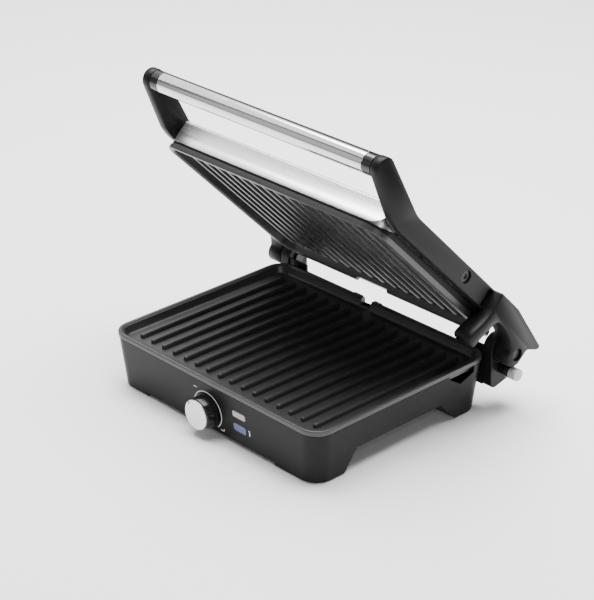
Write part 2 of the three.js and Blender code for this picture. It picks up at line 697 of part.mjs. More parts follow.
for (const [side, sign] of SIDES) {
  bracketScrews.forEach(([x, z], i) => {
    const front = BRACKET_Y + BRACKET_T + FIT;
    const screw = join(
      rod('y', SCREW_HEAD_R, front, front + SCREW_HEAD_H, [sign * x, z], 16),
      rod('y', SCREW_R, -bellyFrontY - WALL, front + TUCK, [sign * x, z], 12),
    );
    piece(`bracket_screw_${side}_${i + 1}`, screw, PLAIN_STEEL, base);
  });
}

const recessIn = ROOT_OUT - PIN_HEAD_R;                // floor of the recess round the pin's head
function hingePin() {
  const centre = [HINGE_Y, HINGE_Z];
  return join(
    rod('x', PIN_R, POST_IN - FIT - TUCK, recessIn + TUCK, centre),
    rod('x', PIN_HEAD_R, recessIn + FIT, recessIn + FIT + 3, centre),
    rod('x', PIN_R + 1.5, POST_IN - FIT - 2.5, POST_IN - FIT, centre),
  );
}

piece('hinge_pin_left', mirrored(hingePin(), 'x'), BLACK_STEEL, base);
piece('hinge_pin_right', hingePin(), BLACK_STEEL, base);

piece('release_button', cut(
  rod('x', BUTTON_R, buttonIn, buttonOut, release),
  rod('x', SLEEVE_R + FIT, 0, buttonWeb, release),
  rod('x', STEM_R + FIT, 0, buttonOut - 3, release, 16),
), GREY_PLASTIC, base);

piece('release_pin', join(
  rod('x', STEM_R, POST_IN - FIT - 2, buttonOut - 3 - FIT, release),
  rod('x', SLEEVE_R, POST_IN - FIT - 3, POST_IN - FIT, release),
), PLAIN_STEEL, base);

function coil(from, to, radius, wire, turns) {
  const points = [];
  const steps = turns * 8;
  for (let i = 0; i <= steps; i += 1) {
    const a = 2 * Math.PI * turns * i / steps;
    points.push(new THREE.Vector3(
      from + (to - from) * i / steps, radius * Math.cos(a), radius * Math.sin(a)));
  }
  const section = new THREE.Shape();
  section.absarc(0, 0, wire, 0, 2 * Math.PI);
  return new THREE.ExtrudeGeometry(section, {
    steps,
    bevelEnabled: false,
    extrudePath: new THREE.CatmullRomCurve3(points),
    curveSegments: 3,
  });
}

piece('release_spring', solid(coil(pocketIn + FIT + SPRING_WIRE, buttonWeb - FIT - SPRING_WIRE,
  SPRING_R, SPRING_WIRE, SPRING_TURNS).translate(0, HINGE_Y, BUTTON_Z)), PLAIN_STEEL, base);

// ---------------------------------------------------------------- arms and handle

const handleCentre = [-HANDLE_REACH, HANDLE_UP];

// Where a line from a point touches a circle, on its upper or lower side seen from the point.
function touch([py, pz], [cy, cz], radius, side) {
  const reach = Math.hypot(py - cy, pz - cz);
  const angle = Math.atan2(pz - cz, py - cy) + side * Math.acos(radius / reach);
  return angle;
}

function armOutline() {
  const upper = touch([-ARM_BEND, ARM_TOP], handleCentre, ARM_END_R, 1);
  const lowerStart = [-ARM_BEND - 28, ARM_BOTTOM + 3];
  const lower = touch(lowerStart, handleCentre, ARM_END_R, -1);
  const outline = new THREE.Shape();
  outline.moveTo(-60, ARM_BOTTOM);
  outline.lineTo(-60, ARM_TOP);
  outline.lineTo(-ARM_BEND + 6, ARM_TOP);
  const rise = -6 * Math.tan(upper - Math.PI / 2);
  outline.quadraticCurveTo(-ARM_BEND, ARM_TOP, -ARM_BEND - 6, ARM_TOP + rise);
  outline.absarc(handleCentre[0], handleCentre[1], ARM_END_R, upper, lower, false);
  outline.lineTo(lowerStart[0], lowerStart[1]);
  outline.quadraticCurveTo(-ARM_BEND - 18, ARM_BOTTOM, -ARM_BEND - 6, ARM_BOTTOM);
  return outline;
}

// Root of the arm: the ear round the pin with its tail, and on the right a skirt in front.
function rootOutline(withSkirt) {
  const outline = polygon([[-35, ARM_TOP - 0.5], [-69, ARM_TOP]]);
  outline.quadraticCurveTo(-71, ARM_TOP, -71, ARM_TOP - 2);
  if (withSkirt) {
    outline.lineTo(-70, 18);
    outline.quadraticCurveTo(-70, 8, -76, -5);
    outline.quadraticCurveTo(-80, -13, -80, -18);
    outline.quadraticCurveTo(-79, -24, -70, -24);
    outline.quadraticCurveTo(-66, -24, -65.5, -19);
    outline.quadraticCurveTo(-64, -10, -57, 6);
    outline.quadraticCurveTo(-54.5, 11.5, -49, 11.5);
  } else {
    outline.lineTo(-70.5, 16);
    outline.quadraticCurveTo(-70, ARM_BOTTOM - 0.5, -66, ARM_BOTTOM - 0.5);
  }
  outline.lineTo(-37, 10.5);
  outline.quadraticCurveTo(-18, 6.5, -12.5, -2);
  outline.absarc(-1.5, -3, 11, Math.PI, 2 * Math.PI);
  outline.lineTo(10, 7);
  outline.quadraticCurveTo(10.4, 10.5, 14, 12.2);
  outline.lineTo(24.8, 17.3);
  outline.quadraticCurveTo(28, 20, 25.5, 22.8);
  return outline;
}

function skirtOutline() {
  const outline = polygon([[-70, 18], [-70, -2], [-74, -8]]);
  outline.quadraticCurveTo(-78, -15, -78, -19);
  outline.quadraticCurveTo(-77, -22.5, -70, -22.5);
  outline.quadraticCurveTo(-67.5, -22, -67, -18);
  outline.quadraticCurveTo(-64, -8, -58, 6);
  outline.lineTo(-58, 18);
  return outline;
}

const pivot = [-PIVOT_BACK, PIVOT_UP];
const armOut = ARM_IN + ARM_T;
const PIVOT_RECESS = 4;
const PIVOT_HEAD_T = 1.8;
const PIVOT_SOCKET_R = 3;
const PIVOT_HEAD_R = 6;
const STEP_POCKET = 7.5;

function armSolid(withSkirt) {
  let body = join(
    extrude(armOutline(), 'x', ARM_IN, armOut, EDGE, 5),
    extrude(rootOutline(withSkirt), 'x', ROOT_IN, ROOT_OUT, EDGE, 4),
  );
  if (withSkirt) {
    body = body.add(extrude(skirtOutline(), 'x', SKIRT_IN, ROOT_IN + 2 * EDGE, 0, 4));
  }
  const pocket = polygon([[-79, ARM_TOP - 2], [-79, 14], [-73, 14], [-71.2, ARM_TOP - 2]]);
  return cut(
    body,
    extrude(pocket, 'x', armOut - STEP_POCKET, armOut + FIT),
    rod('x', PIN_R + RUN, 0, PLATE_W, [0, 0]),
    rod('x', PIN_HEAD_R + 2 * FIT, recessIn, PLATE_W, [0, 0]),
    rod('x', PIVOT_R + FIT, 0, PLATE_W, pivot),
    rod('x', PIVOT_HEAD_R + 2 * FIT, armOut - PIVOT_RECESS, PLATE_W, pivot),
  );
}

function handleBoss() {
  return join(
    rod('x', ARM_END_R - 2 * FIT, HANDLE_HALF + FIT, ARM_IN - FIT, handleCentre, 32),
    rod('x', HANDLE_R - HANDLE_WALL - FIT, HANDLE_HALF - 10, HANDLE_HALF + FIT + TUCK, handleCentre, 32),
  );
}

function pivotScrew() {
  const seat = armOut - PIVOT_RECESS + FIT;
  return cut(
    join(
      rod('x', PIVOT_R, sideInner - BOSS_L + TUCK, seat + TUCK, pivot),
      rod('x', PIVOT_HEAD_R, seat, seat + PIVOT_HEAD_T, pivot),
    ),
    rod('x', PIVOT_SOCKET_R, seat + PIVOT_HEAD_T / 3, armOut, pivot, 6),
  );
}

const lidHalfW = PLATE_W / 2 - LID_SET;
const sideInner = lidHalfW - COVER_WALL - FIT;         // outer face of the pivot bosses

piece('arm_left', mirrored(armSolid(false), 'x'), BLACK_PLASTIC, arms);
piece('arm_right', armSolid(true), BLACK_PLASTIC, arms);
piece('handle_boss_left', mirrored(handleBoss(), 'x'), GLOSS_PLASTIC, arms);
piece('handle_boss_right', handleBoss(), GLOSS_PLASTIC, arms);
piece('pivot_screw_left', mirrored(pivotScrew(), 'x'), BLACK_STEEL, arms);
piece('pivot_screw_right', pivotScrew(), BLACK_STEEL, arms);

piece('handle_tube', cut(
  rod('x', HANDLE_R, -HANDLE_HALF, HANDLE_HALF, handleCentre, 32),
  rod('x', HANDLE_R - HANDLE_WALL, -PLATE_W, PLATE_W, handleCentre, 32),
), POLISHED_STEEL, arms);

// ---------------------------------------------------------------- lid

const lid = new THREE.Group();
arms.add(lid);

piece('upper_grill_plate', mirrored(plateSolid, 'z'), PLATE_COATING, lid).position
  .set(0, LID_MID, LID_GAP);
piece('upper_heating_element', rodSolid, PLAIN_STEEL, lid).position
  .set(0, LID_MID, LID_GAP + ROD_BELOW);
piece('upper_reflector', mirrored(traySolid, 'z'), ALUMINIUM, lid).position
  .set(0, LID_MID, LID_GAP + REFLECTOR_BELOW);

const lidR = PLATE_R - LID_SET;
const lidFront = LID_MID - PLATE_D / 2 + LID_SET;
const lidRear = LID_MID + PLATE_D / 2 - LID_SET;
const frameBottom = LID_GAP + RIM_H + FIT;
const RISE_FROM = 6;                                   // where the frame's top starts to rise
const RISE_TO = 24;

function lidPrism(shrink, z0, z1) {
  const outline = roundedRect(PLATE_W - 2 * LID_SET - 2 * shrink, PLATE_D - 2 * LID_SET - 2 * shrink,
    lidR - shrink);
  return extrude(outline, 'z', z0, z1).translate([0, LID_MID, 0]);
}

function lidFrame() {
  const profile = polygon([
    [lidFront - FIT, frameBottom],
    [lidRear + FIT, frameBottom],
    [lidRear + FIT, FRAME_SIDE],
    [lidFront + RISE_TO, FRAME_SIDE],
    [lidFront + RISE_FROM, FRAME_FRONT],
    [lidFront - FIT, FRAME_FRONT],
  ]);
  const opening = extrude(roundedRect(PLATE_W - 2 * RIM_T + 2 * FIT, PLATE_D - 2 * RIM_T + 2 * FIT,
    PLATE_R - RIM_T + FIT), 'z', 0, LID_TOP).translate([0, LID_MID, 0]);
  return lidPrism(0, 0, LID_TOP).intersect(extrude(profile, 'x', -PLATE_W, PLATE_W)).subtract(opening);
}

piece('lid_frame', lidFrame(), BLACK_PLASTIC, lid);

// Side profile of the lid's skin, or of the room inside it when shrink is a wall thickness.
function coverOutline(shrink) {
  const low = shrink > 0 ? 0 : FRAME_SIDE + FIT;
  const frontLow = shrink > 0 ? 0 : FRAME_FRONT + FIT;
  const top = LID_TOP - shrink;
  const front = lidFront + shrink;
  const rear = lidRear - shrink;
  const outline = new THREE.Shape();
  outline.moveTo(front, frontLow);
  if (shrink > 0) {
    outline.lineTo(front, FRAME_FRONT);
  }
  outline.quadraticCurveTo(front + SCOOP_BACK * 0.8, 16, front + SCOOP_BACK, top - 3);
  outline.quadraticCurveTo(front + SCOOP_BACK, top, front + SCOOP_BACK + 3, top);
  outline.lineTo(rear - 45, top);
  outline.quadraticCurveTo(rear - 12, top - 1, rear - 3, 22 - shrink);
  outline.quadraticCurveTo(rear, 20 - shrink, rear, 18 - shrink);
  outline.lineTo(rear, low);
  if (shrink === 0) {
    outline.lineTo(lidFront + RISE_TO, low);
    outline.lineTo(lidFront + RISE_FROM, frontLow);
  }
  return outline;
}

const skin = lidPrism(0, 0, LID_TOP + FIT)
  .intersect(extrude(coverOutline(0), 'x', -PLATE_W, PLATE_W));
const room = lidPrism(COVER_WALL, 0, LID_TOP + FIT)
  .intersect(extrude(coverOutline(COVER_WALL), 'x', -PLATE_W, PLATE_W));
piece('lid_cover', cut(skin, room, rod('x', PIVOT_R + FIT, -PLATE_W, PLATE_W, pivot)), BRUSHED_STEEL, lid);

function pivotBoss() {
  const footIn = PLATE_W / 2 - RIM_T + 2 * FIT;
  return cut(
    join(
      rod('x', BOSS_R, sideInner - BOSS_L, sideInner, pivot),
      box(footIn, sideInner, -PIVOT_BACK - BOSS_R, -PIVOT_BACK + BOSS_R, FRAME_SIDE + FIT, PIVOT_UP),
    ),
    rod('x', PIVOT_R + RUN, 0, PLATE_W, pivot),
  );
}

piece('pivot_boss_left', mirrored(pivotBoss(), 'x'), ALUMINIUM, lid);
piece('pivot_boss_right', pivotBoss(), ALUMINIUM, lid);

// ---------------------------------------------------------------- origin

// The origin is the middle of the bounding box's floor.
const group = new THREE.Group();
group.name = 'panini_press';
group.add(press);
group.updateMatrixWorld(true);
const bounds = new THREE.Box3().setFromObject(press, true);
const centre = bounds.getCenter(new THREE.Vector3());
press.position.set(-centre.x, -centre.y, -bounds.min.z);
group.updateMatrixWorld(true);

export default group;
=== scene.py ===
"""Panini press: a contact grill with a floating steel lid, two side arms and a tube handle."""

import sys

import json
import math

import bmesh
import bpy
from bpy.props import (
    FloatProperty,
    FloatVectorProperty,
    IntProperty,
    PointerProperty,
)
from mathutils import Matrix, Vector
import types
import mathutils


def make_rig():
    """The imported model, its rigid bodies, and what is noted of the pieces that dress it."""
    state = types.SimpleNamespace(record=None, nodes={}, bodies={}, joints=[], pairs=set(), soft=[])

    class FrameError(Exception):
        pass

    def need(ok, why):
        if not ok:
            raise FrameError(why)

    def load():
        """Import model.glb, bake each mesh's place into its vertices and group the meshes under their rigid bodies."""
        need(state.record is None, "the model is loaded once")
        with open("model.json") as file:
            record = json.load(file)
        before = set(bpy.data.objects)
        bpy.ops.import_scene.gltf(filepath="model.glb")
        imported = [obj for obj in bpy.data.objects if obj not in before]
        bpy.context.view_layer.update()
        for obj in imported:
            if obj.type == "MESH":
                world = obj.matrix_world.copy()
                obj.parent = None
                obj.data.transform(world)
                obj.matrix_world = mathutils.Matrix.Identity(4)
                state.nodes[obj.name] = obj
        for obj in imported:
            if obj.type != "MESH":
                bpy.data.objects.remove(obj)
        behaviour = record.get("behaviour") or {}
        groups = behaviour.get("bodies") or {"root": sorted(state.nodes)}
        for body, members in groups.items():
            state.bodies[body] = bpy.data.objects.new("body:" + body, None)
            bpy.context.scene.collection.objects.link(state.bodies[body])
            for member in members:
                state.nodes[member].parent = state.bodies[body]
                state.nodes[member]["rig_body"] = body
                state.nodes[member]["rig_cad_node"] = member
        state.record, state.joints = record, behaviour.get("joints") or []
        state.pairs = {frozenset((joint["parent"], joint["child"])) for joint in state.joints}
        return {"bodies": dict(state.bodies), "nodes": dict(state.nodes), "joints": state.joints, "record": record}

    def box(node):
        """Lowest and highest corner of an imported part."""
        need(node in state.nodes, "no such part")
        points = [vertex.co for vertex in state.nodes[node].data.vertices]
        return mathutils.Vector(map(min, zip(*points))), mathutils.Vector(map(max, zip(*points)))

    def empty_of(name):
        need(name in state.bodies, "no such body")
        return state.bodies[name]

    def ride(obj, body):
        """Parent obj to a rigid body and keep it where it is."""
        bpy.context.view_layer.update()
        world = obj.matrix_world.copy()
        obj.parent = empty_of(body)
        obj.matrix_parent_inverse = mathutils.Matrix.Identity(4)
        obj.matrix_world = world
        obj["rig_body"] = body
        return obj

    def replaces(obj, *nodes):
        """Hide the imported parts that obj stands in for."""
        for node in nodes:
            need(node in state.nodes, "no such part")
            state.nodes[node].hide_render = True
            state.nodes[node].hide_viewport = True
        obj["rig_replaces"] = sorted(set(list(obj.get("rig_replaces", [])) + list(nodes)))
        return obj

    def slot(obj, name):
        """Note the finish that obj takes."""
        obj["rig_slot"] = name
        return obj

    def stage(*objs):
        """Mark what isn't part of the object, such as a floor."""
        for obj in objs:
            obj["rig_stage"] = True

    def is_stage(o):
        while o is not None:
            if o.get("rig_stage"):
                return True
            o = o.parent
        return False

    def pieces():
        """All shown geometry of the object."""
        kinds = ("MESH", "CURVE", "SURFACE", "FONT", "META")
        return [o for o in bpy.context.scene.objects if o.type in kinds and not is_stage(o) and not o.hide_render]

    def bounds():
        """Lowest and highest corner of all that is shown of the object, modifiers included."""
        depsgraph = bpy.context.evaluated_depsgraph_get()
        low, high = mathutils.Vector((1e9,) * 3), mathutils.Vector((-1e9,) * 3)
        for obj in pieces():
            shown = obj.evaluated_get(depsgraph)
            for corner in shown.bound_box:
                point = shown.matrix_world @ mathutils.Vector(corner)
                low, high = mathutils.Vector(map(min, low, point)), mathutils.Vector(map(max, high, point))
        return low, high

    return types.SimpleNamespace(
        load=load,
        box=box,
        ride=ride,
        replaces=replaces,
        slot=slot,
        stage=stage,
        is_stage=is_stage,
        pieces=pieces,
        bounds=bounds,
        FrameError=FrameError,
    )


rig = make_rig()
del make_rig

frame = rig.load()
CAD_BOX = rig.bounds()

bl_info = {
    "name": "Panini Press",
    "version": (1, 0, 0),
    "blender": (4, 5, 0),
    "location": "3D Viewport > Sidebar > Press",
    "description": "Builds the visible pieces and finishes of a panini press",
    "category": "Add Mesh",
}

MM = 0.001

# ------------------------------------------------------------------ places taken from the frame


def joint(name):
    """The record of a joint of the frame."""
    return next(j for j in frame["joints"] if j["name"] == name)


PLATE_LOW, PLATE_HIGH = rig.box("lower_grill_plate")
MIDDLE_X = (PLATE_LOW.x + PLATE_HIGH.x) / 2
MIDDLE_Y = (PLATE_LOW.y + PLATE_HIGH.y) / 2
RIM_TOP = PLATE_HIGH.z
PLATE_W = PLATE_HIGH.x - PLATE_LOW.x
PLATE_D = PLATE_HIGH.y - PLATE_LOW.y
HINGE = Vector(joint("lid_hinge")["pos_m"])
OPEN = math.radians(45)
LID_GAP = 0.4 * MM

# the front wall leans in by its taper from top to floor, and is set back under the rim
FRONT_TAPER = 5 * MM
FRONT_HEIGHT = 53.2 * MM
FRONT_SET = 1 * MM
LEAN = math.atan(FRONT_TAPER / FRONT_HEIGHT)
KNOB_X, KNOB_Z = -4.5 * MM, 24.3 * MM

# inward and upward steps in millimetres: the rim from its outer wall to the valley, and a rib's crown
RIM_OUTER_STEPS = ((0.35, 0.8), (0.75, 0.5))
RIM_GROOVE_STEPS = ((0.8, -0.35), (0.5, -0.9), (0.9, -0.1), (0.9, -2.4))
RIM_FOOT_STEPS = ((1.2, -1.1), (1.8, -0.35))
RIB_CROWN_STEPS = ((0.4, 0.8), (0.4, 0.5), (0.5, 0.3))

# printed marks on the fascia in millimetres: place across, height, width, length
MARKS = (
    (-20.5, 44.2, 4.6, 0.9),
    (14.5, 8.6, 5.0, 0.9),
    (17.2, 10.2, 0.9, 2.2),
    (54.5, 21.0, 1.3, 4.4),
    (54.5, 24.3, 2.2, 1.1),
)
INK = 0.08 * MM

# name, place and size in metres, power in watts
LIGHTS = (
    ("overhead", (-0.2, 0.4, 2.1), (2.4, 1.8), 192.0),
    ("left", (-2.1, 0.1, 1.8), (3.0, 1.5), 24.0),
    ("front_left", (-1.4, -1.8, 0.9), (0.9, 1.3), 2.0),
    ("front_right", (1.7, -1.1, 1.0), (1.0, 1.0), 10.0),
)
CAMERA_AZIMUTH = math.radians(46.517)
CAMERA_ELEVATION = math.radians(26.254)
CAMERA_DISTANCE = 2.105028
CAMERA_AIM = Vector((-72.893, 67.968, 54.8)) * MM



# ------------------------------------------------------------------ material nodes


class Value:
    """A socket of a node tree, on which sums can be written as plain expressions."""

    def __init__(self, finish, socket):
        self.finish = finish
        self.socket = socket

    def math(self, operation, first, second):
        node = self.finish.tree.nodes.new("ShaderNodeMath")
        node.operation = operation
        self.finish.feed(node.inputs[0], first)
        self.finish.feed(node.inputs[1], second)
        return Value(self.finish, node.outputs[0])

    def __add__(self, other):
        return self.math("ADD", self, other)

    def __radd__(self, other):
        return self.math("ADD", other, self)

    def __mul__(self, other):
        return self.math("MULTIPLY", self, other)

    def __pow__(self, other):
        return self.math("POWER", self, other)


class Finish:
    """One material: its shader's constants, and the nodes that vary it."""

    def __init__(self, name, colour, roughness, metallic=0.0, **constants):
        self.material = bpy.data.materials.new(name)
        self.material.use_nodes = True
        self.material.diffuse_color = (*colour, 1.0)
        self.tree = self.material.node_tree
        self.shader = self.tree.nodes["Principled BSDF"]
        self.colour = colour
        self.roughness = roughness
        self.put("Base Color", (*colour, 1.0))
        self.put("Roughness", roughness)
        self.put("Metallic", metallic)
        for key, value in constants.items():
            self.put(key.replace("_", " "), value)

    def feed(self, socket, value):
        if isinstance(value, Value):
            self.tree.links.new(value.socket, socket)
        else:
            socket.default_value = value

    def put(self, name, value):
        self.feed(self.shader.inputs[name], value)

    def node(self, kind, settings=None, output=0, stops=(), **sockets):
        """A new node: its settings first, then a ramp's stops, then its sockets' values or links."""
        made = self.tree.nodes.new(kind)
        for key, value in (settings or {}).items():
            setattr(made, key, value)
        for i, (place, shade) in enumerate(stops):
            stop = made.color_ramp.elements[i] if i < 2 else made.color_ramp.elements.new(place)
            stop.position = place
            stop.color = (shade, shade, shade, 1.0)
        for key, value in sockets.items():
            self.feed(made.inputs[key.replace("_", " ")], value)
        return Value(self, made.outputs[output])

    def place(self, stretch=(1, 1, 1), turn=(0, 0, 0), centre=(0, 0, 0)):
        """Object coordinates about a centre, turned and stretched."""
        coords = self.node("ShaderNodeTexCoord", output=3)
        moved = self.node("ShaderNodeVectorMath", {"operation": "SUBTRACT"}, Vector=coords)
        moved.socket.node.inputs[1].default_value = centre
        return self.node("ShaderNodeMapping", Vector=moved, Rotation=turn, Scale=stretch)

    def noise(self, scale, detail=2.0, rough=0.5, **place):
        return self.node(
            "ShaderNodeTexNoise",
            Vector=self.place(**place),
            Scale=scale,
            Detail=detail,
            Roughness=rough,
        )

    def band(self, value, low, high):
        """Value spread so that low becomes 0 and high becomes 1."""
        return self.node(
            "ShaderNodeMapRange", From_Min=low, From_Max=high, To_Min=0.0, To_Max=1.0, Value=value
        )

    def tint(self, amount, other):
        """Base colour mixed towards another one by a varying amount."""
        node = self.tree.nodes.new("ShaderNodeMix")
        node.data_type = "RGBA"
        self.feed(node.inputs["Factor"], amount)
        node.inputs[6].default_value = (*self.colour, 1.0)
        node.inputs[7].default_value = (*other, 1.0)
        self.put("Base Color", Value(self, node.outputs[2]))

    def bump(self, height, strength, depth):
        self.put(
            "Normal",
            self.node("ShaderNodeBump", Height=height, Strength=strength, Distance=depth),
        )


FINISHES = {}


def finish(name):
    """The material of that name, made when it is first asked for."""
    if name not in FINISHES:
        FINISHES[name] = globals()["make_" + name]()
    return FINISHES[name].material


def make_black_plastic():
    """Moulded black plastic with a fine spark-eroded grain."""
    colours = bpy.context.scene.press_colours
    f = Finish("black_plastic", tuple(colours.plastic), 0.36, Specular_IOR_Level=0.15)
    grain = f.noise(1500.0, 3.0)
    cloud = f.noise(26.0, 3.0)
    f.put("Roughness", 0.33 + cloud * 0.1 + grain * 0.05)
    f.tint(f.band(cloud, 0.35, 0.75) * 0.5, (0.011, 0.011, 0.0114))
    f.bump(grain, 0.16, 0.0002)
    return f


def make_gloss_plastic():
    """Polished black plastic, with faint wiping marks."""
    colours = bpy.context.scene.press_colours
    f = Finish("gloss_plastic", tuple(colours.plastic), 0.16, Coat_Weight=0.12, Coat_Roughness=0.08)
    smear = f.noise(40.0, 4.0, 0.6)
    ripple = f.noise(500.0, 2.0)
    f.put("Roughness", 0.1 + smear * 0.14)
    f.tint(f.band(smear, 0.4, 0.8) * 0.4, (0.01, 0.01, 0.0104))
    f.bump(ripple, 0.05, 0.0001)
    return f


def make_plate_coating():
    """Dark non-stick coating on cast aluminium: smooth, with fine metallic specks."""
    colours = bpy.context.scene.press_colours
    f = Finish("plate_coating", tuple(colours.coating), 0.3, Specular_IOR_Level=0.5)
    cast = f.noise(420.0, 4.0, 0.6)
    speck = f.noise(2600.0, 1.0)
    wear = f.noise(30.0, 4.0, 0.6)
    f.put("Roughness", 0.24 + cast * 0.12 + wear * 0.08)
    f.tint(f.band(speck, 0.66, 0.78) * 0.35 + f.band(wear, 0.45, 0.8) * 0.2, (0.07, 0.07, 0.072))
    f.bump(cast + speck * 0.4, 0.12, 0.00025)
    return f


def make_brushed_steel():
    """Stainless sheet, brushed from side to side."""
    f = Finish("brushed_steel", (0.62, 0.625, 0.63), 0.24, 1.0)
    lines = f.noise(1.0, 4.0, 0.7, stretch=(14, 2600, 2600))
    broad = f.noise(1.0, 2.0, 0.5, stretch=(3, 320, 320))
    f.put("Roughness", 0.17 + lines * 0.13 + broad * 0.04)
    f.tint(f.band(lines, 0.3, 0.75) * 0.6 + broad * 0.2, (0.74, 0.745, 0.75))
    f.bump(lines, 0.1, 0.00006)
    return f


def make_turned_steel():
    """Steel disc of the knob, faced on a lathe: fine rings about its centre."""
    low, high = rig.box("knob_cap")
    middle = (low + high) / 2
    f = Finish("turned_steel", (0.66, 0.665, 0.67), 0.28, 1.0)
    coords = f.place(centre=tuple(middle))
    parts = [f.node("ShaderNodeSeparateXYZ", Vector=coords, output=i) for i in (0, 2)]
    radius = (parts[0] * parts[0] + parts[1] * parts[1]) ** 0.5
    wobble = f.noise(60.0, 2.0)
    rings = f.node("ShaderNodeMath", {"operation": "SINE"}, Value=radius * 16000.0 + wobble * 3.0)
    f.put("Roughness", 0.27 + rings * 0.05 + wobble * 0.06)
    f.tint(rings * 0.25 + wobble * 0.3, (0.78, 0.78, 0.785))
    f.bump(rings, 0.08, 0.00003)
    return f


def make_polished_steel():
    """Handle tube: polished along its length, with hairlines."""
    f = Finish("polished_steel", (0.74, 0.745, 0.75), 0.12, 1.0)
    hair = f.noise(1.0, 3.0, 0.6, stretch=(9, 1800, 1800))
    touch = f.noise(24.0, 4.0, 0.6)
    f.put("Roughness", 0.08 + hair * 0.07 + f.band(touch, 0.5, 0.85) * 0.1)
    f.tint(hair * 0.3, (0.66, 0.665, 0.675))
    f.bump(hair, 0.04, 0.00004)
    return f


def make_black_steel():
    """Black-oxided pins and screws."""
    f = Finish("black_steel", (0.01, 0.01, 0.0105), 0.38, 0.3)
    oxide = f.noise(600.0, 3.0)
    f.put("Roughness", 0.32 + oxide * 0.14)
    f.tint(oxide * 0.4, (0.02, 0.019, 0.018))
    f.bump(oxide, 0.08, 0.0001)
    return f


def make_plain_steel():
    """Zinc-plated pins and screws."""
    f = Finish("plain_steel", (0.5, 0.51, 0.52), 0.34, 1.0)
    crystal = f.noise(700.0, 3.0)
    f.put("Roughness", 0.28 + crystal * 0.14)
    f.tint(crystal * 0.4, (0.4, 0.4, 0.38))
    f.bump(crystal, 0.08, 0.0001)
    return f


def make_aluminium():
    """Mill-finish sheet and castings out of sight."""
    f = Finish("aluminium", (0.6, 0.605, 0.61), 0.42, 1.0)
    rolled = f.noise(1.0, 3.0, stretch=(40, 600, 600))
    f.put("Roughness", 0.36 + rolled * 0.14)
    f.tint(rolled * 0.4, (0.5, 0.505, 0.51))
    f.bump(rolled, 0.08, 0.0001)
    return f


def make_rubber():
    """Matte black rubber."""
    f = Finish("rubber", (0.012, 0.012, 0.012), 0.85)
    dust = f.noise(300.0, 4.0, 0.6)
    f.put("Roughness", 0.78 + dust * 0.16)
    f.tint(f.band(dust, 0.5, 0.8) * 0.4, (0.035, 0.034, 0.033))
    f.bump(dust, 0.2, 0.0002)
    return f


def lens(name, colour, deep):
    """Moulded lamp lens with fine vertical flutes behind its face."""
    f = Finish(name, colour, 0.14, Coat_Weight=0.5, Coat_Roughness=0.05)
    across = f.node("ShaderNodeSeparateXYZ", Vector=f.place(), output=0)
    flutes = f.node("ShaderNodeMath", {"operation": "SINE"}, Value=across * 4200.0)
    haze = f.noise(220.0, 2.0)
    f.put("Roughness", 0.12 + haze * 0.08)
    f.tint(flutes * 0.25 + haze * 0.5, deep)
    f.bump(flutes, 0.2, 0.0002)
    return f


def make_blue_lens():
    """Blue power lamp."""
    return lens("blue_lens", (0.045, 0.075, 0.22), (0.012, 0.022, 0.08))


def make_clear_lens():
    """Clear ready lamp."""
    return lens("clear_lens", (0.42, 0.43, 0.44), (0.07, 0.072, 0.075))


def make_grey_plastic():
    """Light grey moulding of the release button, with a dark neck on its inner half."""
    f = Finish("grey_plastic", (0.5, 0.505, 0.51), 0.3)
    grain = f.noise(900.0, 2.0)
    across = f.node("ShaderNodeSeparateXYZ", Vector=f.place(), output=0)
    outer_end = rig.box("release_button")[1].x
    neck = f.band(across, outer_end - 8.4 * MM, outer_end - 8.8 * MM)
    f.put("Roughness", 0.24 + grain * 0.12)
    f.tint(f.band(neck + grain * 0.1, 0.0, 1.0), (0.02, 0.02, 0.0204))
    f.bump(grain, 0.08, 0.0001)
    return f


def make_ceramic():
    """Unglazed insulator."""
    f = Finish("ceramic", (0.66, 0.62, 0.52), 0.7)
    grit = f.noise(500.0, 4.0)
    f.put("Roughness", 0.62 + grit * 0.2)
    f.tint(grit * 0.4, (0.5, 0.47, 0.4))
    f.bump(grit, 0.15, 0.0002)
    return f


def make_white_print():
    """White ink on the fascia."""
    f = Finish("white_print", (0.78, 0.78, 0.78), 0.5)
    ink = f.noise(1800.0, 2.0)
    f.put("Roughness", 0.42 + ink * 0.15)
    f.tint(ink * 0.25, (0.6, 0.6, 0.6))
    f.bump(ink, 0.05, 0.00005)
    return f


# ------------------------------------------------------------------ mesh helpers


def add_piece(name, bm, body, slot, material, replaces=(), sharp=40.0):
    """A finished bmesh as an object that rides on a body of the frame."""
    for face in bm.faces:
        face.smooth = True
    for edge in bm.edges:
        if len(edge.link_faces) == 2:
            edge.smooth = edge.calc_face_angle(0.0) < math.radians(sharp)
    mesh = bpy.data.meshes.new(name)
    bm.to_mesh(mesh)
    bm.free()
    made = bpy.data.objects.new(name, mesh)
    bpy.context.scene.collection.objects.link(made)
    mesh.materials.append(finish(material))
    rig.ride(made, body)
    if slot:
        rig.slot(made, slot)
    if replaces:
        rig.replaces(made, *replaces)
    return made


def copy_of(node):
    """A merged copy of a CAD node's mesh, with its flat triangles joined into whole faces."""
    bm = bmesh.new()
    bm.from_mesh(frame["nodes"][node].data)
    bmesh.ops.remove_doubles(bm, verts=bm.verts, dist=1e-6)
    bmesh.ops.dissolve_limit(
        bm, angle_limit=math.radians(0.5), verts=bm.verts, edges=bm.edges, use_dissolve_boundaries=False
    )
    return bm


def body_of(node):
    """The frame's body that holds a CAD node."""
    bodies = frame["record"]["behaviour"]["bodies"]
    return next(name for name, nodes in bodies.items() if node in nodes)


def slot_of(node):
    """The record's material slot of a CAD node."""
    return next(s["material_slot"] for s in frame["record"]["subparts"] if s["node"] == node)


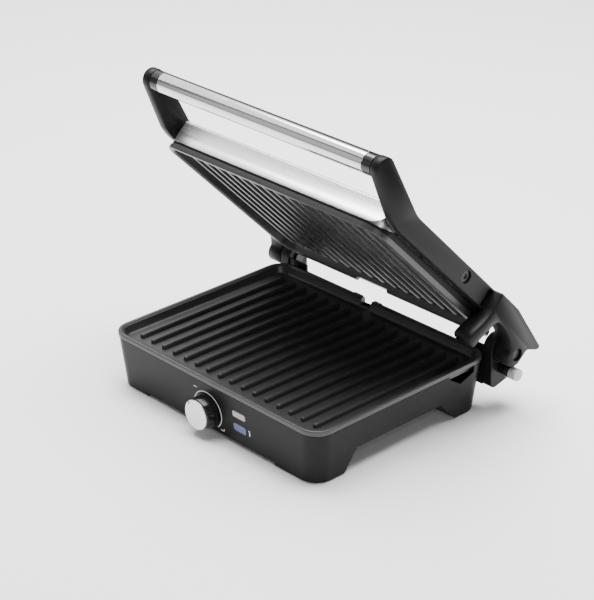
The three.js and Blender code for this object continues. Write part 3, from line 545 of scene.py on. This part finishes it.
def softened(node, name, material, width, segments=3, angle=38.0, sharp=45.0):
    """A moulded piece: a CAD node's shape with its sharp edges rounded."""
    made = add_piece(name, copy_of(node), body_of(node), slot_of(node), material, (node,), sharp)
    round_edges(made, width, segments, angle)
    return made


def round_edges(made, width, segments=3, angle=38.0):
    """Rounded edges as a modifier, with the flat faces kept flat in the shading."""
    rounding = made.modifiers.new("rounding", "BEVEL")
    rounding.width = width
    rounding.segments = segments
    rounding.limit_method = "ANGLE"
    rounding.angle_limit = math.radians(angle)
    rounding.harden_normals = True
    rounding.use_clamp_overlap = True


def steady_shading(made):
    """Smooth shading that leaves the large flat faces flat."""
    steady = made.modifiers.new("steady_shading", "WEIGHTED_NORMAL")
    steady.mode = "FACE_AREA"
    steady.weight = 100
    steady.keep_sharp = True


def rounded_face(bm, width, depth, radius, height, segments=10):
    """A rounded rectangle about the middle of the frame, as one face at a height."""
    made = bmesh.ops.create_grid(bm, x_segments=1, y_segments=1, size=0.5)
    verts = made["verts"]
    bmesh.ops.scale(bm, vec=(width, depth, 1), verts=verts)
    bmesh.ops.translate(bm, vec=(0, 0, height), verts=verts)
    bmesh.ops.bevel(
        bm, geom=verts, offset=radius, offset_type="OFFSET", segments=segments,
        profile=0.5, affect="VERTICES", material=-1,
    )
    return [f for f in bm.faces if abs(f.calc_center_median().z - height) < 2e-5 and len(f.verts) > 8]


def push(bm, faces, rise, keep=False):
    """Faces extruded straight up or down; gives the new end faces. The old ones go, unless kept."""
    made = bmesh.ops.extrude_face_region(bm, geom=faces)["geom"]
    verts = [g for g in made if isinstance(g, bmesh.types.BMVert)]
    bmesh.ops.translate(bm, vec=(0, 0, rise), verts=verts)
    if not keep:
        bmesh.ops.delete(bm, geom=[f for f in faces if f.is_valid], context="FACES")
    return [g for g in made if isinstance(g, bmesh.types.BMFace)]


def step_in(bm, faces, inward, rise=0.0):
    """Faces inset and moved; gives the same faces, now smaller."""
    bmesh.ops.inset_region(bm, faces=faces, thickness=inward, depth=0.0, use_even_offset=True)
    if rise:
        verts = {v for f in faces for v in f.verts}
        bmesh.ops.translate(bm, vec=(0, 0, rise), verts=list(verts))
    return faces


def block(bm, low, high, rounding=0.0, segments=2):
    """A box between two corners with rounded edges."""
    low, high = Vector(low), Vector(high)
    verts = bmesh.ops.create_cube(bm, size=1.0)["verts"]
    bmesh.ops.scale(bm, vec=high - low, verts=verts)
    bmesh.ops.translate(bm, vec=(low + high) / 2, verts=verts)
    if rounding:
        edges = list({e for v in verts for e in v.link_edges})
        bmesh.ops.bevel(
            bm, geom=edges, offset=rounding, offset_type="OFFSET", segments=segments,
            profile=0.5, affect="EDGES", material=-1,
        )


# ------------------------------------------------------------------ settings


class PressColours(bpy.types.PropertyGroup):
    """Colours of the mouldings and coatings."""

    plastic: FloatVectorProperty(
        name="Plastic",
        description="Colour of the black mouldings",
        subtype="COLOR",
        size=3,
        min=0.0,
        max=1.0,
        default=(0.006, 0.006, 0.0062),
    )
    coating: FloatVectorProperty(
        name="Coating",
        description="Colour of the plates' non-stick coating",
        subtype="COLOR",
        size=3,
        min=0.0,
        max=1.0,
        default=(0.03, 0.03, 0.0308),
    )
    floor: FloatVectorProperty(
        name="Floor",
        description="Colour of the studio floor",
        subtype="COLOR",
        size=3,
        min=0.0,
        max=1.0,
        default=(0.93, 0.93, 0.93),
    )


class PressPlates(bpy.types.PropertyGroup):
    """Sizes of the ribbed plates."""

    ribs: IntProperty(name="Ribs", description="Number of ribs on a plate", default=16, min=1, max=30)
    pitch: FloatProperty(
        name="Pitch", description="Distance from rib to rib", subtype="DISTANCE", unit="LENGTH",
        default=16.5 * MM, min=0.006, max=0.05,
    )
    rib_length: FloatProperty(
        name="Rib length", description="Length of a rib", subtype="DISTANCE", unit="LENGTH",
        default=195 * MM, min=0.02, max=0.22,
    )
    rib_width: FloatProperty(
        name="Rib width", description="Width of a rib at its root", subtype="DISTANCE", unit="LENGTH",
        default=5.2 * MM, min=0.002, max=0.012,
    )
    rib_height: FloatProperty(
        name="Rib height", description="Height of a rib over the valley", subtype="DISTANCE",
        unit="LENGTH", default=4.3 * MM, min=0.001, max=0.008,
    )
    corner: FloatProperty(
        name="Corner", description="Corner radius of the rim", subtype="DISTANCE", unit="LENGTH",
        default=21 * MM, min=0.005, max=0.06,
    )
    depth: FloatProperty(
        name="Depth", description="Rim top to valley", subtype="DISTANCE", unit="LENGTH",
        default=9 * MM, min=0.004, max=0.02,
    )
    drain_x: FloatProperty(
        name="Drain place", description="Drain from the middle, to the right", subtype="DISTANCE",
        unit="LENGTH", default=-17 * MM, min=-0.1, max=0.1,
    )


class PressControls(bpy.types.PropertyGroup):
    """Sizes of the printed marks."""

    ring: FloatProperty(
        name="Ring", description="Radius of the printed ring round the knob", subtype="DISTANCE",
        unit="LENGTH", default=19.4 * MM, min=0.01, max=0.03,
    )
    ring_width: FloatProperty(
        name="Ring width", description="Width of the printed ring", subtype="DISTANCE",
        unit="LENGTH", default=0.9 * MM, min=0.0002, max=0.004,
    )


SETTINGS = {
    "press_colours": PressColours,
    "press_plates": PressPlates,
    "press_controls": PressControls,
}

# ------------------------------------------------------------------ operators


def plate_mesh(sizes, drain_width, drain_depth, bumps):
    """A ribbed casting about the middle of the frame, its rim's top at zero height.

    It is shaped in millimetres, where small insets stay exact, and scaled to metres at the end.
    """
    rim, skirt, tray = 6.0, 6.0, 3.5
    gap, back = 1.1, 1.3
    depth = sizes.depth / MM
    width, length = PLATE_W / MM, PLATE_D / MM
    bm = bmesh.new()
    top = rounded_face(bm, width, length, sizes.corner / MM, gap - rim, 12)
    # the rim: outer wall, rounded crown, a fine groove, then the wall down to the valley
    top = push(bm, top, rim - gap - 1.3)
    flat = (skirt - 3.4, 0.0)
    wall = (1.2, 5.2 - depth)
    for inward, rise in (*RIM_OUTER_STEPS, flat, *RIM_GROOVE_STEPS, wall, *RIM_FOOT_STEPS):
        top = step_in(bm, top, inward, rise)
    # underside: a set-back foot that leaves a shadow gap, the ledge and the tray
    under = bmesh.ops.edgeloop_fill(bm, edges=[e for e in bm.edges if e.is_boundary])["faces"]
    under = step_in(bm, under, back)
    under = push(bm, under, -gap)
    under = step_in(bm, under, skirt - back)
    push(bm, under, rim - depth - tray)
    # drain: the rear rim lowered between two cuts
    drain = sizes.drain_x / MM
    for side in (-1, 1):
        for more in (0, 0.5):
            bmesh.ops.bisect_plane(
                bm, geom=bm.verts[:] + bm.edges[:] + bm.faces[:],
                plane_co=(drain + side * (drain_width / 2 - more), 0, 0), plane_no=(1, 0, 0),
            )
    for v in bm.verts:
        inside = abs(v.co.x - drain) < drain_width / 2 - 0.4
        if inside and v.co.y > length / 2 - 12 and v.co.z > -drain_depth:
            v.co.z = -drain_depth
    for i in range(sizes.ribs):
        add_rib(bm, (i - (sizes.ribs - 1) / 2) * sizes.pitch / MM, sizes)
    for low, high, rise in bumps:
        y1 = length / 2 - 0.4
        block(bm, (drain + low, y1 - 5.2, -2), (drain + high, y1, rise), 0.9, 3)
    bmesh.ops.recalc_face_normals(bm, faces=bm.faces)
    bmesh.ops.scale(bm, vec=(MM, MM, MM), verts=bm.verts)
    return bm


def add_rib(bm, x, sizes):
    """One rib: a bar with round ends and a crowned top, sunk a little into the casting."""
    sunk = 1.0
    wide = sizes.rib_width / MM
    made = bmesh.ops.create_grid(bm, x_segments=1, y_segments=1, size=0.5)["verts"]
    bmesh.ops.scale(bm, vec=(wide, sizes.rib_length / MM, 1), verts=made)
    bmesh.ops.translate(bm, vec=(x, 0, -sizes.depth / MM - sunk), verts=made)
    plan = bmesh.ops.bevel(
        bm, geom=made, offset=wide * 0.48, offset_type="OFFSET", segments=5,
        profile=0.5, affect="VERTICES", material=-1,
    )
    face = list({f for v in plan["verts"] for f in v.link_faces})
    face = push(bm, face, sizes.rib_height / MM + sunk - 1.6, keep=True)
    for inward, rise in RIB_CROWN_STEPS:
        face = step_in(bm, face, inward, rise)


class PRESS_OT_plates(bpy.types.Operator):
    """Builds the lower and the upper ribbed plate"""

    bl_idname = "press.plates"
    bl_label = "Grill plates"

    def execute(self, context):
        sizes = context.scene.press_plates
        lower = plate_mesh(sizes, 14.0, 6.2, [(-21.0, -8.6, 1.0), (8.0, 18.5, 1.0)])
        bmesh.ops.translate(lower, vec=(MIDDLE_X, MIDDLE_Y, RIM_TOP), verts=lower.verts)
        steady_shading(add_piece(
            "lower_plate", lower, "base", "plate_coating", "plate_coating", ("lower_grill_plate",), 60,
        ))
        upper = plate_mesh(sizes, 44.0, 3.2, [])
        bmesh.ops.scale(upper, vec=(1, 1, -1), verts=upper.verts)
        closed = Matrix.Translation((MIDDLE_X, MIDDLE_Y - HINGE.y, LID_GAP))
        into = Matrix.Translation((0, HINGE.y, HINGE.z)) @ Matrix.Rotation(-OPEN, 4, "X")
        bmesh.ops.transform(upper, matrix=into @ closed, verts=upper.verts)
        bmesh.ops.recalc_face_normals(upper, faces=upper.faces)
        steady_shading(add_piece(
            "upper_plate", upper, "lid", "plate_coating", "plate_coating", ("upper_grill_plate",), 60,
        ))
        return {"FINISHED"}


class PRESS_OT_base(bpy.types.Operator):
    """Builds the base housing, its cover, feet and gland"""

    bl_idname = "press.base"
    bl_label = "Base"

    def execute(self, context):
        softened("base_housing", "housing", "black_plastic", 0.7 * MM)
        softened("base_bottom_cover", "bottom_cover", "black_plastic", 0.4 * MM, 2)
        softened("cord_gland", "gland", "black_plastic", 0.5 * MM, 2)
        for place in ("front_left", "front_right", "rear_left", "rear_right"):
            softened(f"foot_{place}", f"rubber_foot_{place}", "rubber", 0.6 * MM)
        return {"FINISHED"}


class PRESS_OT_hinge(bpy.types.Operator):
    """Builds the hinge posts, their pins and the release button"""

    bl_idname = "press.hinge"
    bl_label = "Hinge"

    def execute(self, context):
        for side in ("left", "right"):
            softened(f"hinge_bracket_{side}", f"hinge_post_{side}", "black_plastic", 0.5 * MM, 3)
            softened(f"hinge_pin_{side}", f"pin_{side}", "black_steel", 0.4 * MM, 2)
        softened("release_button", "button", "grey_plastic", 0.9 * MM, 4)
        return {"FINISHED"}


class PRESS_OT_arms(bpy.types.Operator):
    """Builds the two arms, the handle bosses and the pivot screws"""

    bl_idname = "press.arms"
    bl_label = "Arms"

    def execute(self, context):
        for side in ("left", "right"):
            softened(f"arm_{side}", f"side_arm_{side}", "black_plastic", 0.5 * MM, 3, 50.0, 50.0)
            softened(f"handle_boss_{side}", f"handle_end_{side}", "gloss_plastic", 0.5 * MM)
            softened(f"pivot_screw_{side}", f"screw_{side}", "black_steel", 0.4 * MM, 2)
        softened("handle_tube", "tube", "polished_steel", 0.3 * MM, 2)
        return {"FINISHED"}


class PRESS_OT_lid(bpy.types.Operator):
    """Builds the steel cover and the black frame of the lid"""

    bl_idname = "press.lid"
    bl_label = "Lid"

    def execute(self, context):
        softened("lid_frame", "frame_band", "black_plastic", 0.5 * MM, 3)
        softened("lid_cover", "steel_cover", "brushed_steel", 0.5 * MM, 3, 30.0, 40.0)
        return {"FINISHED"}


def on_fascia(bm, x, z, proud):
    """Lays a mesh drawn flat about the origin on the leaning front wall."""
    wall = FRONT_SET - PLATE_D / 2 + FRONT_TAPER * (1 - z / FRONT_HEIGHT)
    place = (
        Matrix.Translation((MIDDLE_X + x, MIDDLE_Y + wall, z))
        @ Matrix.Rotation(math.pi / 2 + LEAN, 4, "X")
        @ Matrix.Translation((0, 0, proud))
    )
    bmesh.ops.transform(bm, matrix=place, verts=bm.verts)


class PRESS_OT_controls(bpy.types.Operator):
    """Builds the knob, the lamp lenses and the printed marks"""

    bl_idname = "press.controls"
    bl_label = "Controls"

    def execute(self, context):
        softened("knob_body", "knob_barrel", "gloss_plastic", 0.4 * MM)
        softened("knob_cap", "knob_face", "turned_steel", 0.35 * MM)
        softened("power_lens", "power_window", "blue_lens", 0.5 * MM)
        softened("ready_lens", "ready_window", "clear_lens", 0.5 * MM)
        self.ring(context.scene.press_controls)
        self.marks()
        return {"FINISHED"}

    def ring(self, sizes):
        bm = bmesh.new()
        start = math.radians(-48)
        outward = Vector((math.cos(start), math.sin(start), 0))
        near = bm.verts.new(outward * (sizes.ring - sizes.ring_width / 2))
        far = bm.verts.new(outward * (sizes.ring + sizes.ring_width / 2))
        edge = bm.edges.new((near, far))
        bmesh.ops.spin(
            bm, geom=[near, far, edge], axis=(0, 0, 1), cent=(0, 0, 0), dvec=(0, 0, 0),
            angle=math.radians(208), steps=72, use_merge=False,
        )
        bmesh.ops.recalc_face_normals(bm, faces=bm.faces)
        bmesh.ops.solidify(bm, geom=bm.faces[:], thickness=INK)
        on_fascia(bm, KNOB_X, KNOB_Z, 0.12 * MM)
        add_piece("printed_ring", bm, "base", None, "white_print")

    def marks(self):
        bm = bmesh.new()
        for x, z, width, height in MARKS:
            bar = bmesh.new()
            half = Vector((width / 2, height / 2, 0)) * MM
            block(bar, -half, half + Vector((0, 0, INK)))
            on_fascia(bar, x * MM, z * MM, 0.1 * MM)
            part = bpy.data.meshes.new("bar")
            bar.to_mesh(part)
            bar.free()
            bm.from_mesh(part)
            bpy.data.meshes.remove(part)
        add_piece("printed_marks", bm, "base", None, "white_print")


class PRESS_OT_inner(bpy.types.Operator):
    """Gives the pieces that stay as the frame has them their finishes"""

    bl_idname = "press.inner"
    bl_label = "Inner pieces"

    def execute(self, context):
        for name, node in frame["nodes"].items():
            if node.hide_render:
                continue
            material = finish(slot_of(name))
            if not node.material_slots:
                node.data.materials.append(material)
            for holder in node.material_slots:
                holder.link = "OBJECT"
                holder.material = material
        return {"FINISHED"}


class PRESS_OT_stage(bpy.types.Operator):
    """Builds the floor, the lights and the camera"""

    bl_idname = "press.stage"
    bl_label = "Stage"

    def execute(self, context):
        self.floor(context)
        self.lights(context)
        self.camera(context)
        return {"FINISHED"}

    def floor(self, context):
        bm = bmesh.new()
        bmesh.ops.create_grid(bm, x_segments=1, y_segments=1, size=6.0)
        mesh = bpy.data.meshes.new("floor")
        bm.to_mesh(mesh)
        bm.free()
        floor = bpy.data.objects.new("floor", mesh)
        context.scene.collection.objects.link(floor)
        f = Finish("studio_floor", tuple(context.scene.press_colours.floor), 0.9)
        mesh.materials.append(f.material)
        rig.stage(floor)

    def lights(self, context):
        world = bpy.data.worlds.new("studio")
        context.scene.world = world
        world.use_nodes = True
        world.node_tree.nodes["Background"].inputs["Color"].default_value = (1, 1, 1, 1)
        world.node_tree.nodes["Background"].inputs["Strength"].default_value = 0.16
        for name, place, size, power in LIGHTS:
            data = bpy.data.lights.new(name, "AREA")
            data.shape = "RECTANGLE"
            data.size, data.size_y = size
            data.energy = power
            lamp = bpy.data.objects.new(name, data)
            context.scene.collection.objects.link(lamp)
            lamp.location = place
            aim = Vector((0, 0, 0.12)) - Vector(place)
            lamp.rotation_euler = aim.to_track_quat("-Z", "Y").to_euler()

    def camera(self, context):
        target = Vector((MIDDLE_X, MIDDLE_Y, 0)) + CAMERA_AIM
        back = Vector((
            math.sin(CAMERA_AZIMUTH) * math.cos(CAMERA_ELEVATION),
            -math.cos(CAMERA_AZIMUTH) * math.cos(CAMERA_ELEVATION),
            math.sin(CAMERA_ELEVATION),
        ))
        data = bpy.data.cameras.new("camera")
        data.lens = 122.876
        data.sensor_width = 36
        data.clip_end = 50
        camera = bpy.data.objects.new("camera", data)
        context.scene.collection.objects.link(camera)
        camera.location = target + back * CAMERA_DISTANCE
        camera.rotation_euler = (-back).to_track_quat("-Z", "Y").to_euler()
        context.scene.camera = camera


OPERATORS = (
    PRESS_OT_plates,
    PRESS_OT_base,
    PRESS_OT_hinge,
    PRESS_OT_arms,
    PRESS_OT_lid,
    PRESS_OT_controls,
    PRESS_OT_inner,
    PRESS_OT_stage,
)


class PRESS_PT_panel(bpy.types.Panel):
    """Sizes, colours and buttons for the press"""

    bl_idname = "PRESS_PT_panel"
    bl_label = "Panini Press"
    bl_space_type = "VIEW_3D"
    bl_region_type = "UI"
    bl_category = "Press"

    def draw(self, context):
        layout = self.layout
        for name, group in SETTINGS.items():
            box = layout.box()
            box.label(text=group.__doc__)
            for key in group.__annotations__:
                box.prop(getattr(context.scene, name), key)
        for operator in OPERATORS:
            layout.operator(operator.bl_idname)


CLASSES = (*SETTINGS.values(), *OPERATORS, PRESS_PT_panel)


def register():
    for cls in CLASSES:
        bpy.utils.register_class(cls)
    for name, group in SETTINGS.items():
        setattr(bpy.types.Scene, name, PointerProperty(type=group))


def unregister():
    for name in SETTINGS:
        delattr(bpy.types.Scene, name)
    for cls in reversed(CLASSES):
        bpy.utils.unregister_class(cls)


def main():
    register()
    for operator in OPERATORS:
        group, name = operator.bl_idname.split(".")
        getattr(getattr(bpy.ops, group), name)()
    sizes = {
        "cad": [list(corner) for corner in CAD_BOX],
        "visual": [list(corner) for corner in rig.bounds()],
    }
    with open("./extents.json", "w") as out:
        json.dump(sizes, out)


if __name__ == "__main__":
    main()
